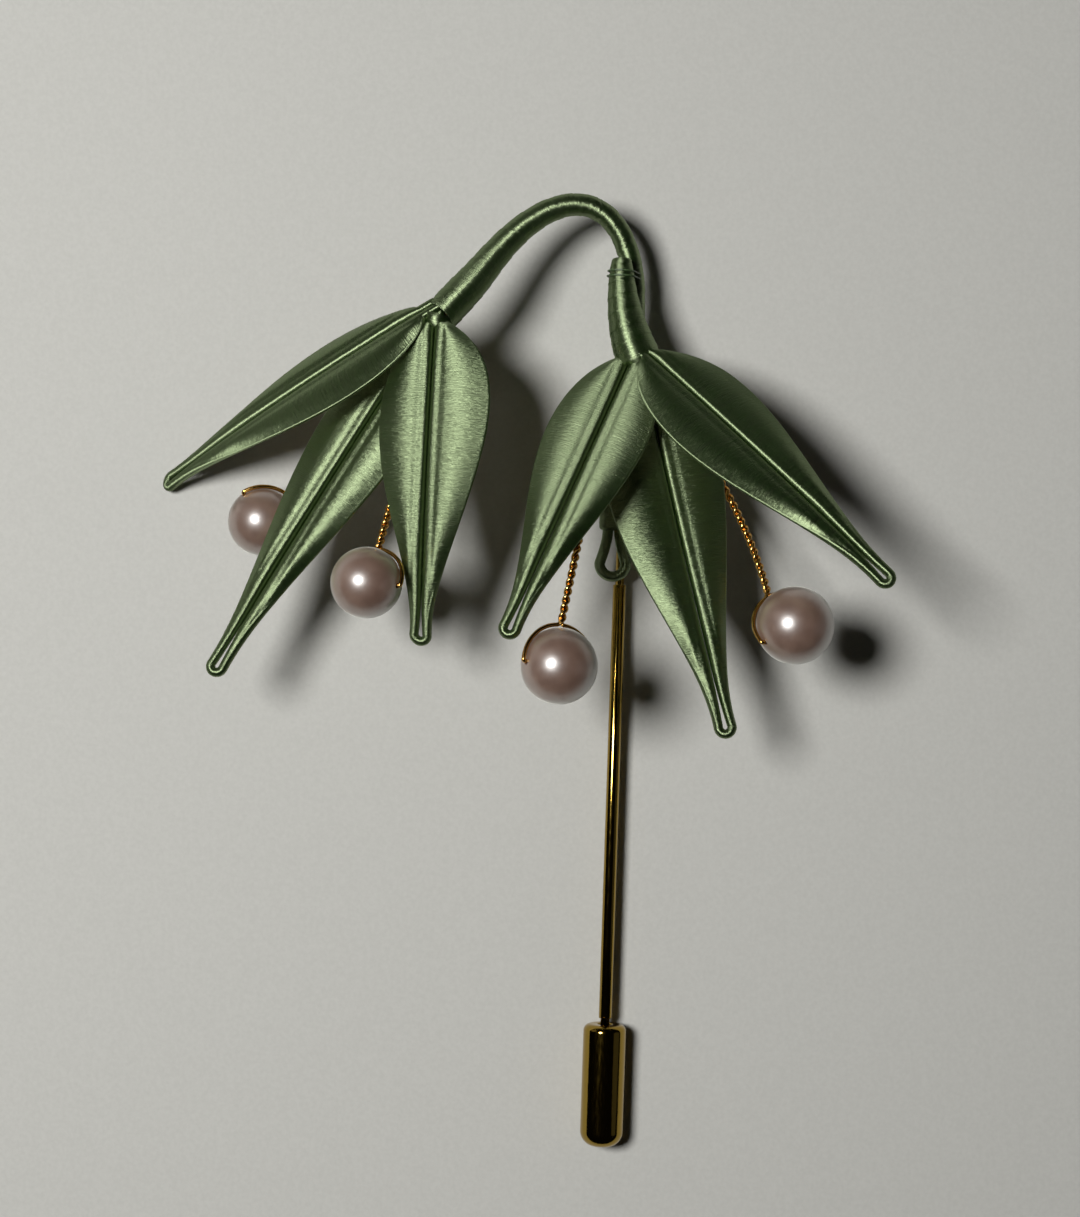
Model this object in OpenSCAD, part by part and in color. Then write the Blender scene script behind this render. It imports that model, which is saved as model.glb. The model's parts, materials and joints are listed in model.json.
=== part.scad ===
// Silk-wrapped stick pin: two drooping flowers of folded leaves, wired pearls and a bullet clutch.
// Millimetres. The pin lies on its back: +Z is the display side, the needle points along -Y, and the
// origin is on the needle's axis, where the needle comes out of the silk-wrapped head.

/* [Needle] */
// Diameter of the straight shank
needle_d = 1.3; // [1.2:0.05:1.5]
// Length of the straight shank, from the head to the clutch
shank_len = 43.3; // [36:0.1:50]
// Diameter of the neck that the clutch grips, and of the tang in the head
neck_d = 0.9; // [0.8:0.02:0.96]
// Length of the neck below the shank, without the point
neck_len = 8.7; // [7:0.1:9]
// Length of the ground point
point_len = 2.4; // [1:0.1:2.5]
// Length of the tang that is bound into the head
tang_len = 18.5; // [10:0.5:18.5]

/* [Clutch] */
// Outer diameter of the bullet clutch
clutch_d = 4.3; // [4:0.1:5]
// Length of the bullet clutch
clutch_len = 12.2; // [12:0.1:14]
// Wall of the drawn shell
clutch_wall = 0.35; // [0.25:0.05:0.5]
// Radius of the shell's rounded bottom corner
clutch_round = 1.5; // [1:0.1:1.6]
// Gap between the end of the shank and the clutch's top face
clutch_gap = 0.6; // [0.4:0.1:1]
// Length of the grip inside the shell
grip_len = 7.5; // [5:0.5:8]
// Radial clearance of the grip on the neck
grip_gap = 0.03; // [0.02:0.01:0.05]

/* [Leaves] */
// Diameter of the wrapped wire along a leaf's inner edge
rib_d = 0.9; // [0.8:0.05:1]
// Gap between the two halves of a leaf
groove = 0.3; // [0.2:0.05:0.5]
// Full thickness of a wrapped half, at its middle
leaf_t = 0.96; // [0.8:0.02:1.1]
// Thickness of the silk floss on a leaf
silk_t = 0.15; // [0.1:0.01:0.18]
// Place of the widest point, as a share of the leaf's length
widest = 0.3; // [0.25:0.01:0.38]
// How full the leaf is near its base: less is fuller
fullness = 0.76; // [0.7:0.02:1]

/* [Wire and stems] */
// Diameter of the gold pearl wire and of the leaf wires
wire_d = 0.4; // [0.3:0.02:0.42]
// Length of one full turn of a twisted pair
twist_pitch = 1.75; // [1.4:0.05:2.2]
// Thickness of the silk on a stem
stem_silk = 0.2; // [0.15:0.05:0.25]
// Diameter of the wrapped strand that makes the tail loop
loop_d = 1.16; // [1:0.02:1.2]

/* [Pearls] */
// Diameter of the drilled hole
drill_d = 0.54; // [0.5:0.02:0.6]
// Gap between a pearl and its wire bail
bail_gap = 0.08; // [0.05:0.01:0.2]

/* [Hidden] */
round_fn = 64;
up = [0, 0, 1];
down_needle = [90, 0, 0]; // turns +Z to -Y

// Leaves: name, base, tip, rise of the arch, sideways bow, roll, fold, and the widest of half a
// and of half b, each from the midrib to its edge. Half b is on the left of someone who stands on
// the leaf and looks from its base to its tip. A positive roll lifts half b, and the fold drops both
// outer edges below the midrib.
NAME = 0;
BASE = 1;
TIP = 2;
ARCH = 3;
BOW = 4;
ROLL = 5;
FOLD = 6;
HALVES = 7;
LEAVES = [
    ["left_outer", [-20.3, 25.2, 10.9], [-45.3, 9, -1.2], 3.2, 0, 42, 10, [3.6, 4.5]],
    ["left_middle", [-19.1, 24.6, 9.9], [-38.5, -9.1, 11.2], -1.6, -0.35, 20, 10, [4.5, 4.75]],
    ["left_inner", [-18.8, 24.4, 11.1], [-19.2, -5.5, 11], 3, 0, 16, 4, [5, 5.9]],
    ["right_inner", [0.1, 21.8, 7.1], [-10.6, -4.5, 17.2], 1.6, 0, 14, 6, [4.9, 4.85]],
    ["right_middle", [1.2, 21.8, 5.9], [10.1, -13.3, 12.4], 0.4, -0.2, -9, 4, [6.05, 5.7]],
    ["right_outer", [1.8, 22.2, 8.3], [23.6, 1.3, 20.8], 2.2, 0, -24, 4, [5, 4.7]]
];

// Pearls: name, centre, diameter, heading and lift of the drilled hole, where the twisted pair
// ends in the stem, and the point that bends the pair on its way there.
HOLE = 3;
ROOT = 4;
BEND = 5;
PEARLS = [
    ["pearl_1", [-35.7, 5.1, 1.7], 6.8, [125, 24], [-19.6, 24, 8], [-26, 16, 3.8]],
    ["pearl_2", [-24.4, -0.7, 13], 6.8, [-4, 26], [-18.4, 23.6, 8.6], [-21.8, 11, 7.2]],
    ["pearl_3", [-5.9, -7.9, 17], 7.2, [174, 30], [-1.4, 21.3, 6.2], [-3.7, 7.7, 13]],
    ["pearl_4", [16.3, -3.4, 13.5], 7.4, [210, 24], [1.7, 21.2, 4.4], [11.6, 9.3, 4.5]]
];

// Main stem: points on its centre line, each with its outer radius. It starts at the left
// flower, arches over and runs down behind the short stem into the binding.
MAIN_STEM = [
    [-18.5, 24.9, 10.4, 1.65],
    [-16.3, 27.5, 9.6, 1.6],
    [-12, 33, 7.6, 1.2],
    [-7.2, 36.7, 5.8, 1],
    [-3, 36.4, 4.6, 0.95],
    [-0.5, 34, 3.7, 0.95],
    [0, 30, 3.2, 0.95],
    [0.2, 24, 2.6, 0.95],
    [-0.6, 19.3, 1, 0.8]
];
SHORT_STEM = [
    [-1, 31.6, 5.6, 1],
    [-0.9, 29.3, 5.6, 1.35],
    [-0.4, 25.8, 5.9, 1.75],
    [0.7, 22.6, 6.4, 2.1]
];

// Heart of the head: where the tail loop lies, and the span of the binding.
loop_z = 1.5;
loop_x = -0.8;
loop_half = 1.3; // half the width of the loop's centre line
loop_leg = 0.62; // half the spacing of its two legs in the binding
loop_bottom = 2.1; // centre of the loop's round end, along Y
loop_neck = 5.2; // where the two legs meet, along Y
binding_from = 5.4;
binding_to = 18.9;
binding_t = 0.32;
fit_gap = 0.03;
tie_y = [30.1, 30.6];
tie_d = 0.2;
tie_gap = 0.06;

leaf_steps = 13;
leaf_times = [for (k = [0:leaf_steps]) k / leaf_steps];
card_times = [for (k = [1:leaf_steps - 2]) leaf_times[k]];
turn_steps = 6;

LEAF_PARTS = ["silk_a", "silk_b", "silk_tip", "card_a", "card_b", "wire"];
HEAD_PARTS = [
    "main_stem_silk", "main_stem_wires", "short_stem_silk", "short_stem_wires", "stem_tie",
    "tail_loop_silk", "tail_loop_wire", "needle_binding"
];

// ---- curves and frames ----

function unit(v) = v / norm(v);
function mix(a, b, t) = a + (b - a) * t;
function backwards(list) = [for (i = [len(list) - 1:-1:0]) list[i]];
function xyz(p) = [p.x, p.y, p.z];
// Ring of n angles, the first at half a step
function angles(n) = [for (k = [0:n - 1]) 360 * (k + 0.5) / n];

// A frame is [origin, heading, side, top]: top is square to the heading and as near +Z as can be
function frame_on(origin, heading) =
    let (h = unit(heading), top = unit(up - h * (up * h)))
    [origin, h, cross(top, h), top];
function rolled(f, a) =
    [f[0], f[1], f[2] * cos(a) + f[3] * sin(a), f[3] * cos(a) - f[2] * sin(a)];
// Circle of n points round a frame's heading
function ring(f, r, n) =
    [for (a = angles(n)) f[0] + r * (cos(a) * f[2] + sin(a) * f[3])];

// Smooth curve through a list of points, at s = 0 for the first and 1 for the last
function catmull(a, b, c, d, u) =
    0.5 * (2 * b + (c - a) * u + (2 * a - 5 * b + 4 * c - d) * u * u
        + (3 * b - a - 3 * c + d) * u * u * u);
function along(points, s) =
    let (
        last = len(points) - 1,
        i = min(floor(s * last), last - 1),
        p = [for (k = [-1:2]) points[max(0, min(last, i + k))]]
    )
    catmull(p[0], p[1], p[2], p[3], s * last - i);
function along_frame(points, s) =
    let (step = 0.01)
    frame_on(xyz(along(points, s)),
        xyz(along(points, min(1, s + step)) - along(points, max(0, s - step))));

// ---- solids from rings ----

// Side faces between rings of n points, numbered from first
function wall_faces(rings, n, first) = [
    for (j = [0:rings - 2], i = [0:n - 1])
        let (a = first + j * n + i, b = first + j * n + (i + 1) % n)
        each [[a, a + n, b], [b, a + n, b + n]]
];
// Solid with flat ends through rings that turn anticlockwise about their heading
module skin(rings) {
    n = len(rings[0]);
    last = (len(rings) - 1) * n;
    polyhedron(
        points = [for (r = rings) each r],
        faces = concat(
            [[for (i = [0:n - 1]) i]],
            wall_faces(len(rings), n, 0),
            [[for (i = [n - 1:-1:0]) last + i]]
        )
    );
}
// Hollow wrap between outer and inner rings, open at both ends
module wrap(outer, inner) {
    n = len(outer[0]);
    count = len(outer);
    inside = count * n;
    last = inside - n;
    polyhedron(
        points = [for (r = concat(outer, inner)) each r],
        faces = concat(
            wall_faces(count, n, 0),
            [for (f = wall_faces(count, n, inside)) backwards(f)],
            [for (i = [0:n - 1]) let (k = (i + 1) % n) each
                [[i, k, inside + i], [k, inside + k, inside + i]]],
            [for (i = [0:n - 1]) let (a = last + i, b = last + (i + 1) % n) each
                [[a, a + inside, b], [b, a + inside, b + inside]]]
        )
    );
}

// ---- leaves ----

// Outline of a half at t, from 0 at the leaf's base to 1 at its tip: 1 at its widest, 0 at both ends
function outline(t) =
    pow(t / widest, fullness) * pow((1 - t) / (1 - widest), fullness * (1 - widest) / widest);
// How much wider a half is than its wrapped wire
function blade(leaf, t, side) =
    (leaf[HALVES][side < 0 ? 0 : 1] - groove / 2 - rib_d) * outline(t);

// Frame on the midrib
function midrib(leaf, t) =
    let (
        chord = leaf[TIP] - leaf[BASE],
        lift = leaf[ARCH] * up + leaf[BOW] * unit(cross(up, chord)),
        f = frame_on(leaf[BASE] + chord * t + lift * 4 * t * (1 - t), chord + lift * (4 - 8 * t))
    )
    rolled(f, leaf[ROLL]);

// Cross-section of a half, x from the groove outwards and y through the thickness
function silk_section(e, inset) =
    let (
        r = rib_d / 2 - inset,
        shoulder = 0.71 * r,
        mid = shoulder + (leaf_t / 2 - inset - shoulder) * min(1, e / 2),
        half = [[r - shoulder, shoulder], [r, r], [r + shoulder + 0.4 * e, mid]]
    )
    [
        for (p = concat([[0, 0]], half, [[2 * r + e, 0]], backwards([for (q = half) [q.x, -q.y]])))
            [p.x + inset, p.y]
    ];
function card_section(e) =
    let (
        play = 0.1,
        inner = rib_d / 2 + wire_d / 2 + 0.08,
        r = rib_d / 2 - silk_t,
        crest = silk_t + 1.71 * r + 0.4 * e,
        thick = leaf_t / 2 - silk_t - play,
        outer = rib_d + e - silk_t - 0.3
    )
    [[inner, -0.18], [inner, 0.18], [crest, thick], [outer, 0.03], [outer, -0.03], [crest, -thick]];
function wire_section() =
    [for (a = angles(6)) [(rib_d - wire_d * cos(a)) / 2, wire_d / 2 * sin(a)]];

// Section points placed out from the midrib, along out and across it along top
function placed(origin, out, top, section) =
    [for (p = section) origin + out * (groove / 2 + p.x) + top * p.y];
function half_ring(leaf, t, side, section) =
    let (
        f = midrib(leaf, t),
        a = leaf[FOLD] * (1 - t),
        ring = placed(f[0], side * f[2] * cos(a) - f[3] * sin(a),
            f[3] * cos(a) + side * f[2] * sin(a), section)
    )
    side < 0 ? ring : backwards(ring);
function tip_ring(leaf, turn, section) =
    let (f = midrib(leaf, 1))
    placed(f[0], -cos(turn) * f[2] + sin(turn) * f[1], f[3], section);

tip_turns = [for (k = [0:turn_steps]) 180 * k / turn_steps];

module leaf_silk(leaf, side) {
    color("#3f5a38")
        wrap(
            [for (t = leaf_times) half_ring(leaf, t, side, silk_section(blade(leaf, t, side), 0))],
            [for (t = leaf_times)
                half_ring(leaf, t, side, silk_section(blade(leaf, t, side), silk_t))]
        );
}
module leaf_silk_tip(leaf) {
    color("#4a6641")
        wrap(
            [for (a = tip_turns) tip_ring(leaf, a, silk_section(0, 0))],
            [for (a = tip_turns) tip_ring(leaf, a, silk_section(0, silk_t))]
        );
}
module leaf_card(leaf, side) {
    color("#d8cfb8")
        skin([
            for (t = card_times)
                half_ring(leaf, t, side, card_section(blade(leaf, t, side)))
        ]);
}
// One wire runs up one half, round the tip and back down the other
module leaf_wire(leaf) {
    color("#b08d3c")
        skin(concat(
            [for (t = leaf_times) half_ring(leaf, t, -1, wire_section())],
            [for (k = [1:turn_steps - 1]) tip_ring(leaf, tip_turns[k], wire_section())],
            [for (t = backwards(leaf_times)) backwards(half_ring(leaf, t, 1, wire_section()))]
        ));
}
module leaf_part(leaf, part) {
    if (part == "silk_a") leaf_silk(leaf, -1);
    if (part == "silk_b") leaf_silk(leaf, 1);
    if (part == "silk_tip") leaf_silk_tip(leaf);
    if (part == "card_a") leaf_card(leaf, -1);
    if (part == "card_b") leaf_card(leaf, 1);
    if (part == "wire") leaf_wire(leaf);
}

// ---- stems ----

module stem_silk(points, steps, sides) {
    shares = [for (k = [0:steps]) k / steps];
    color("#38512f")
        wrap(
            [for (s = shares) ring(along_frame(points, s), along(points, s)[3], sides)],
            [for (s = shares) ring(along_frame(points, s), along(points, s)[3] - stem_silk, sides)]
        );
}
// Bundle of four wires, side by side about the stem's centre line
module stem_wires(points, steps) {
    spread = 0.36;
    color("#b08d3c")
        for (a = angles(4))
            skin([
                for (k = [0:steps])
                    let (f = along_frame(points, k / steps))
                    ring([f[0] + spread * (cos(a) * f[2] + sin(a) * f[3]), f[1], f[2], f[3]],
                        wire_d / 2, 5)
            ]);
}
module main_stem_silk() {
    stem_silk(MAIN_STEM, 28, 10);
}
module main_stem_wires() {
    stem_wires(MAIN_STEM, 20);
}
module short_stem_silk() {
    stem_silk(SHORT_STEM, 9, 10);
}
module short_stem_wires() {
    stem_wires(SHORT_STEM, 5);
}

// Point of a stem's centre line, with its radius, where it crosses a plane across Y
function stem_at(points, y) =
    let (near = [for (k = [0:60]) let (p = along(points, k / 60)) if (abs(p.y - y) < 0.7) p])
    near[floor(len(near) / 2)];
// Two turns of thread round both stems, each pulled tight into an oval loop
module stem_tie() {
    main_run = [for (k = [4:len(MAIN_STEM) - 1]) MAIN_STEM[k]];
    color("#5b7a4e")
        for (y = tie_y) {
            stems = [stem_at(main_run, y), stem_at(SHORT_STEM, y)];
            skin_loop([
                for (a = [0:15:360])
                    let (
                        out = [cos(a), 0, sin(a)],
                        reach = [for (p = stems) xyz(p) * out + p[3]],
                        p = reach[0] > reach[1] ? stems[0] : stems[1],
                        c = [p.x, y, p.z] + out * (p[3] + tie_d / 2 + tie_gap)
                    )
                    [for (b = angles(5)) c + tie_d / 2 * (cos(b) * out + sin(b) * [0, 1, 0])]
            ]);
        }
}
// Closed ring of rings, whose last ring repeats the first
module skin_loop(rings) {
    n = len(rings[0]);
    count = len(rings) - 1;
    total = count * n;
    polyhedron(
        points = [for (j = [0:count - 1]) each rings[j]],
        faces = [for (f = wall_faces(count + 1, n, 0)) [for (i = f) i % total]]
    );
}

// ---- tail loop and binding ----

// Centre line of the tail: down one leg, round the open end and up the other
function tail_point(side, y) = [loop_x + side * mix(loop_leg, loop_half,
    pow(max(0, (loop_neck - y) / (loop_neck - loop_bottom)), 1.5)), y, loop_z];
tail_legs = [binding_to, 13, 9, loop_neck + 0.6, 4.6, 3.8, 2.9];
tail_path = concat(
    [for (y = tail_legs) tail_point(1, y)],
    [for (a = [0:-22.5:-180]) [loop_x + loop_half * cos(a), loop_bottom + loop_half * sin(a), loop_z]],
    [for (y = backwards(tail_legs)) tail_point(-1, y)]
);
function tail_rings(r, sides) = [
    for (k = [0:len(tail_path) - 1])
        ring(frame_on(tail_path[k],
            tail_path[min(k + 1, len(tail_path) - 1)] - tail_path[max(k - 1, 0)]), r, sides)
];
module tail_loop_silk() {
    color("#38512f") wrap(tail_rings(loop_d / 2, 8), tail_rings(loop_d / 2 - silk_t, 8));
}
module tail_loop_wire() {
    color("#b08d3c") skin(tail_rings(wire_d / 2, 5));
}
// Outline round the tang and the two legs, grown by extra
module binding_outline(extra) {
    hull() {
        circle(d = neck_d + 2 * extra, $fn = 32);
        for (side = [-1, 1])
            translate([loop_x + side * loop_leg, loop_z]) circle(d = loop_d + 2 * extra, $fn = 32);
    }
}
module needle_binding() {
    color("#38512f")
        translate([0, binding_to, 0]) rotate(down_needle)
            linear_extrude(binding_to - binding_from)
                difference() {
                    binding_outline(binding_t);
                    binding_outline(fit_gap);
                }
}

// ---- needle and clutch ----

module needle() {
    color("#c9a24a")
        rotate(down_needle) {
            translate([0, 0, -tang_len]) cylinder(d = neck_d, h = tang_len, $fn = round_fn);
            cylinder(d = needle_d, h = shank_len, $fn = round_fn);
            translate([0, 0, shank_len]) cylinder(d = neck_d, h = neck_len, $fn = round_fn);
            translate([0, 0, shank_len + neck_len])
                cylinder(d1 = neck_d, d2 = 0.2, h = point_len, $fn = round_fn);
        }
}

clutch_top = shank_len + clutch_gap;
// Half profile of a bullet, radius along x and length along y, with its bottom at the far end
module bullet(r, length, corner) {
    square([r - corner, length]);
    square([r, length - corner]);
    translate([r - corner, length - corner]) intersection() {
        circle(corner, $fn = round_fn);
        square(corner);
    }
}
module clutch_shell() {
    mouth = neck_d / 2 + 0.25;
    inner = clutch_d / 2 - clutch_wall;
    color("#c9a24a")
        rotate(down_needle) translate([0, 0, clutch_top]) rotate_extrude($fn = round_fn)
            difference() {
                bullet(clutch_d / 2, clutch_len, clutch_round);
                translate([0, clutch_wall])
                    bullet(inner, clutch_len - 2 * clutch_wall, clutch_round - clutch_wall);
                square([mouth, clutch_wall + 0.1]);
            }
}
// Rubber grip that holds the neck by friction
module clutch_grip() {
    bore = neck_d / 2 + grip_gap;
    outer = clutch_d / 2 - clutch_wall - 0.02;
    color("#3a3a38")
        rotate(down_needle) translate([0, 0, clutch_top + clutch_wall + 0.02])
            difference() {
                cylinder(r = outer, h = grip_len, $fn = round_fn);
                translate([0, 0, -1]) cylinder(r = bore, h = grip_len + 2, $fn = round_fn);
            }
}

// ---- pearls ----

// Frame of a pearl: x along its drilled hole, y up towards its twisted pair
function hole_axis(pearl) =
    let (a = pearl[HOLE])
    [cos(a[1]) * cos(a[0]), cos(a[1]) * sin(a[0]), sin(a[1])];
function bail_up(pearl) =
    let (x = hole_axis(pearl), to = pearl[BEND] - pearl[1])
    unit(to - x * (x * to));
function bail_r(pearl) = pearl[2] / 2 + bail_gap + wire_d / 2;
module at_pearl(pearl) {
    c = pearl[1];
    x = hole_axis(pearl);
    y = bail_up(pearl);
    z = cross(x, y);
    multmatrix([
        [x.x, y.x, z.x, c.x],
        [x.y, y.y, z.y, c.y],
        [x.z, y.z, z.z, c.z],
        [0, 0, 0, 1]
    ])
        children();
}
module pearl_bead(pearl) {
    color("#e3d2c6")
        at_pearl(pearl)
            difference() {
                sphere(d = pearl[2], $fn = round_fn);
                rotate([0, 90, 0]) cylinder(d = drill_d, h = pearl[2] + 2, center = true, $fn = round_fn);
            }
}
// Route of the twisted pair, from the top of the bail to the stem
function pair_point(pearl, s) =
    let (
        start = pearl[1] + bail_up(pearl) * bail_r(pearl),
        a = mix(start, pearl[BEND], s),
        b = mix(pearl[BEND], pearl[ROOT], s)
    )
    mix(a, b, s);
function pair_length(pearl) =
    let (p = [for (k = [0:12]) pair_point(pearl, k / 12)])
    [for (k = [0:11]) norm(p[k + 1] - p[k])] * [for (k = [0:11]) 1];
// The wire passes through the pearl, bends up on both sides and is twisted on itself
module pearl_wire(pearl) {
    r = wire_d / 2;
    reach = bail_r(pearl);
    turns = round(pair_length(pearl) / twist_pitch);
    steps = turns * turn_steps;
    color("#c9a24a") {
        at_pearl(pearl) {
            rotate_extrude(angle = 180, $fn = round_fn) translate([reach, 0]) circle(r, $fn = round_fn);
            rotate([0, 90, 0]) cylinder(r = r, h = 2 * reach, center = true, $fn = round_fn);
            for (side = [-1, 1]) translate([side * reach, 0, 0]) sphere(r, $fn = round_fn);
        }
        for (strand = [0, 180])
            skin([
                for (k = [0:steps])
                    let (
                        s = k / steps,
                        f = frame_on(pair_point(pearl, s),
                            pair_point(pearl, s + 0.01) - pair_point(pearl, s - 0.01)),
                        a = strand + 360 * turns * s,
                        c = f[0] + (r + 0.01) * (cos(a) * f[2] + sin(a) * f[3])
                    )
                    ring([c, f[1], f[2], f[3]], r, 5)
            ]);
    }
}

// ---- nodes ----

for (leaf = LEAVES, part = LEAF_PARTS)
    leaf_part(leaf, part);
main_stem_silk();
main_stem_wires();
short_stem_silk();
short_stem_wires();
stem_tie();
tail_loop_silk();
tail_loop_wire();
needle_binding();
for (pearl = PEARLS) {
    pearl_bead(pearl);
    pearl_wire(pearl);
}
needle();
clutch_shell();
clutch_grip();
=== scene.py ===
# %% [markdown]
# # A silk-wrapped stick pin
# Two drooping flowers of wound silk floss hang from an arched stem, with pearls on twisted gold
# wire, and a gold needle that ends in a bullet clutch. The solid model gives every size and place.
# This script builds the visible surfaces around it, in metres and in the same frame.

import json

import bpy
import numpy as np
from mathutils import Matrix, Vector


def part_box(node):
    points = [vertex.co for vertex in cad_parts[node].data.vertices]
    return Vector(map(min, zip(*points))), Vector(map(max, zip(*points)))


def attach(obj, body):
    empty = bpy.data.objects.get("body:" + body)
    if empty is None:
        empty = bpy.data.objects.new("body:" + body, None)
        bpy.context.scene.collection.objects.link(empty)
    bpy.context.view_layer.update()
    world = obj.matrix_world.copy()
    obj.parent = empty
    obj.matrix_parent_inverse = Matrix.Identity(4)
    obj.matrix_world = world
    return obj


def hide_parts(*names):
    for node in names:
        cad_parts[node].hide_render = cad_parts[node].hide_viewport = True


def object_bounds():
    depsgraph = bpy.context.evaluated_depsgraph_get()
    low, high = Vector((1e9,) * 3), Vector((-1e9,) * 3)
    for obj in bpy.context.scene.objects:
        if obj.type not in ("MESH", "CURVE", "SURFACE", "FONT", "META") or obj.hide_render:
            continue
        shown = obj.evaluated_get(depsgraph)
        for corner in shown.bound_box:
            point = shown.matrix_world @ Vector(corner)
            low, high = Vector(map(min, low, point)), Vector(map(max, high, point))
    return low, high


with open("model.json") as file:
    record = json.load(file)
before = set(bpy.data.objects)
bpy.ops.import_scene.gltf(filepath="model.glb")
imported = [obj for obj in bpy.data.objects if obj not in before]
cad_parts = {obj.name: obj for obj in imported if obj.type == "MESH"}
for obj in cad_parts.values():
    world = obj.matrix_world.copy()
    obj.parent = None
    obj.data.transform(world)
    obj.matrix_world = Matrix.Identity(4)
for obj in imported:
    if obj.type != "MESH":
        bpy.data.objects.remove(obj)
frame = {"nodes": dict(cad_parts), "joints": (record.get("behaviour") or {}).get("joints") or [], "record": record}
cad_box = [list(corner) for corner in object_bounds()]
record = frame["record"]
MM = 0.001
random = np.random.default_rng(7)  # seeded, so every run lays the same strands
print("solid model, mm:", np.round((np.array(cad_box) / MM), 1).tolist())

# %% [markdown]
# ## Small tools
# Every new piece is a grid of points: rows run along the piece and columns run round it. One
# function turns such a grid into a mesh, because tubes, leaves, pearls and the needle are all
# grids that differ only in their formula. Another adds a shader node, and one turns a colour
# picker's hex value into the linear light that shaders need.


# %% A mesh from a grid
def skin(name, grid, length=None, across=None, joined=False):
    """Closed surface on grid (rows, columns, 3). Columns always join round; rows join when joined
    is true, and otherwise each end closes on a pole at the middle of its ring. length and across
    are the UV coordinates, in millimetres, as arrays of rows by columns."""
    rows, columns = grid.shape[:2]
    index = np.arange(rows * columns).reshape(rows, columns)
    around = np.roll(index, -1, axis=1)
    if joined:
        low, high = (index, around), (np.roll(index, -1, axis=0), np.roll(around, -1, axis=0))
    else:
        low, high = (index[:-1], around[:-1]), (index[1:], around[1:])
    quads = np.stack([low[0], low[1], high[1], high[0]], axis=-1).reshape(-1, 4)
    points = grid.reshape(-1, 3)
    faces = quads.tolist()
    if not joined:
        poles = [rows * columns, rows * columns + 1]
        points = np.vstack([points, grid[0].mean(0), grid[-1].mean(0)])
        first = np.stack([around[0], index[0], np.full(columns, poles[0])], axis=-1)
        last = np.stack([index[-1], around[-1], np.full(columns, poles[1])], axis=-1)
        faces += first.tolist() + last.tolist()
    corners_of = points[quads]
    normals = np.cross(corners_of[:, 2] - corners_of[:, 0], corners_of[:, 3] - corners_of[:, 1])
    volume = (corners_of.mean(1) * normals).sum()
    if volume < 0:
        faces = [face[::-1] for face in faces]
    mesh = bpy.data.meshes.new(name)
    mesh.from_pydata(points.tolist(), [], faces)
    mesh.polygons.foreach_set("use_smooth", np.ones(len(mesh.polygons), bool))
    if length is not None:
        ends = [0, 0] if not joined else []
        flat = np.stack([np.append(length.ravel(), ends), np.append(across.ravel(), ends)], axis=-1)
        corner_points = np.zeros(len(mesh.loops), np.int32)
        mesh.loops.foreach_get("vertex_index", corner_points)
        layer = mesh.uv_layers.new(name="UVMap")
        layer.data.foreach_set("uv", flat[corner_points].astype(np.float32).ravel())
    mesh.update()
    piece = bpy.data.objects.new(name, mesh)
    bpy.context.scene.collection.objects.link(piece)
    return piece


def full_turn(columns):
    """Angles of one full turn, evenly spaced, in radians."""
    return 2 * np.pi * np.arange(columns) / columns


def finish_piece(piece, body, slot, material, *nodes):
    """Gives a piece its material and body, and hides the CAD nodes that it stands for. slot is not used."""
    piece.data.materials.append(material)
    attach(piece, body)
    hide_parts(*nodes)
    return piece


# %% Reading the solid model
def points_of(node):
    """The corner points of a CAD node, as rows of x, y, z in metres."""
    mesh = frame["nodes"][node].data
    flat = np.zeros(3 * len(mesh.vertices), np.float32)
    mesh.vertices.foreach_get("co", flat)
    return flat.reshape(-1, 3).astype(float)


def unit(v):
    """Vectors along the last axis, divided by their lengths."""
    return v / np.linalg.norm(v, axis=-1, keepdims=True)


def fitted(share, points, degree):
    """The polynomial of share that passes nearest to the points, as a function of share."""
    weights = np.polynomial.polynomial.polyfit(share, points, degree)
    return lambda s: np.moveaxis(np.polynomial.polynomial.polyval(s, weights), 0, -1)


def slope(curve, s):
    """Direction of a curve at s, as a small difference either side."""
    step = 1e-3
    return unit(curve(s + step) - curve(s - step))


def curve_length(curve):
    """Length of a curve from 0 to 1, as the sum of many short straight steps."""
    steps = np.diff(curve(np.linspace(0, 1, 400)), axis=0)
    return np.linalg.norm(steps, axis=1).sum()


# %% Colours and shader nodes
def linear(hex_colour):
    """sRGB hex to linear RGBA: divide by 12.92 when dark, else a power of 2.4."""
    srgb = np.array([int(hex_colour[i:i + 2], 16) for i in (1, 3, 5)]) / 255
    light = np.where(srgb <= 0.04045, srgb / 12.92, ((srgb + 0.055) / 1.055) ** 2.4)
    return (*light.tolist(), 1.0)


def add(tree, kind, inputs=None, **settings):
    """Adds a shader node. An input is a number, a colour or another node's socket."""
    node = tree.nodes.new("ShaderNode" + kind)
    for key, value in settings.items():
        setattr(node, key, value)
    for key, value in (inputs or {}).items():
        if isinstance(value, bpy.types.NodeSocket):
            tree.links.new(value, node.inputs[key])
        else:
            node.inputs[key].default_value = value
    return node


def new_material(name):
    """A material with no nodes yet, and its node tree."""
    material = bpy.data.materials.new(name)
    material.use_nodes = True
    material.node_tree.nodes.clear()
    return material, material.node_tree


def ramp(tree, factor, stops):
    """A colour ramp through (position, hex) stops."""
    node = add(tree, "ValToRGB", {"Fac": factor})
    elements = node.color_ramp.elements
    while len(elements) < len(stops):
        elements.new(1)
    for element, (place, colour) in zip(elements, stops):
        element.position = place
        element.color = linear(colour)
    return node.outputs["Color"]


# %% [markdown]
# ## Camera, light and floor
# The pin lies on a sheet of pale paper and is seen from straight above, so the camera looks down
# the Z axis. One lamp high on the left gives soft-edged shadows to the right, and the rest of the
# room is dim, which is what makes polished gold look half dark and gives the silk its contrast.

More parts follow.
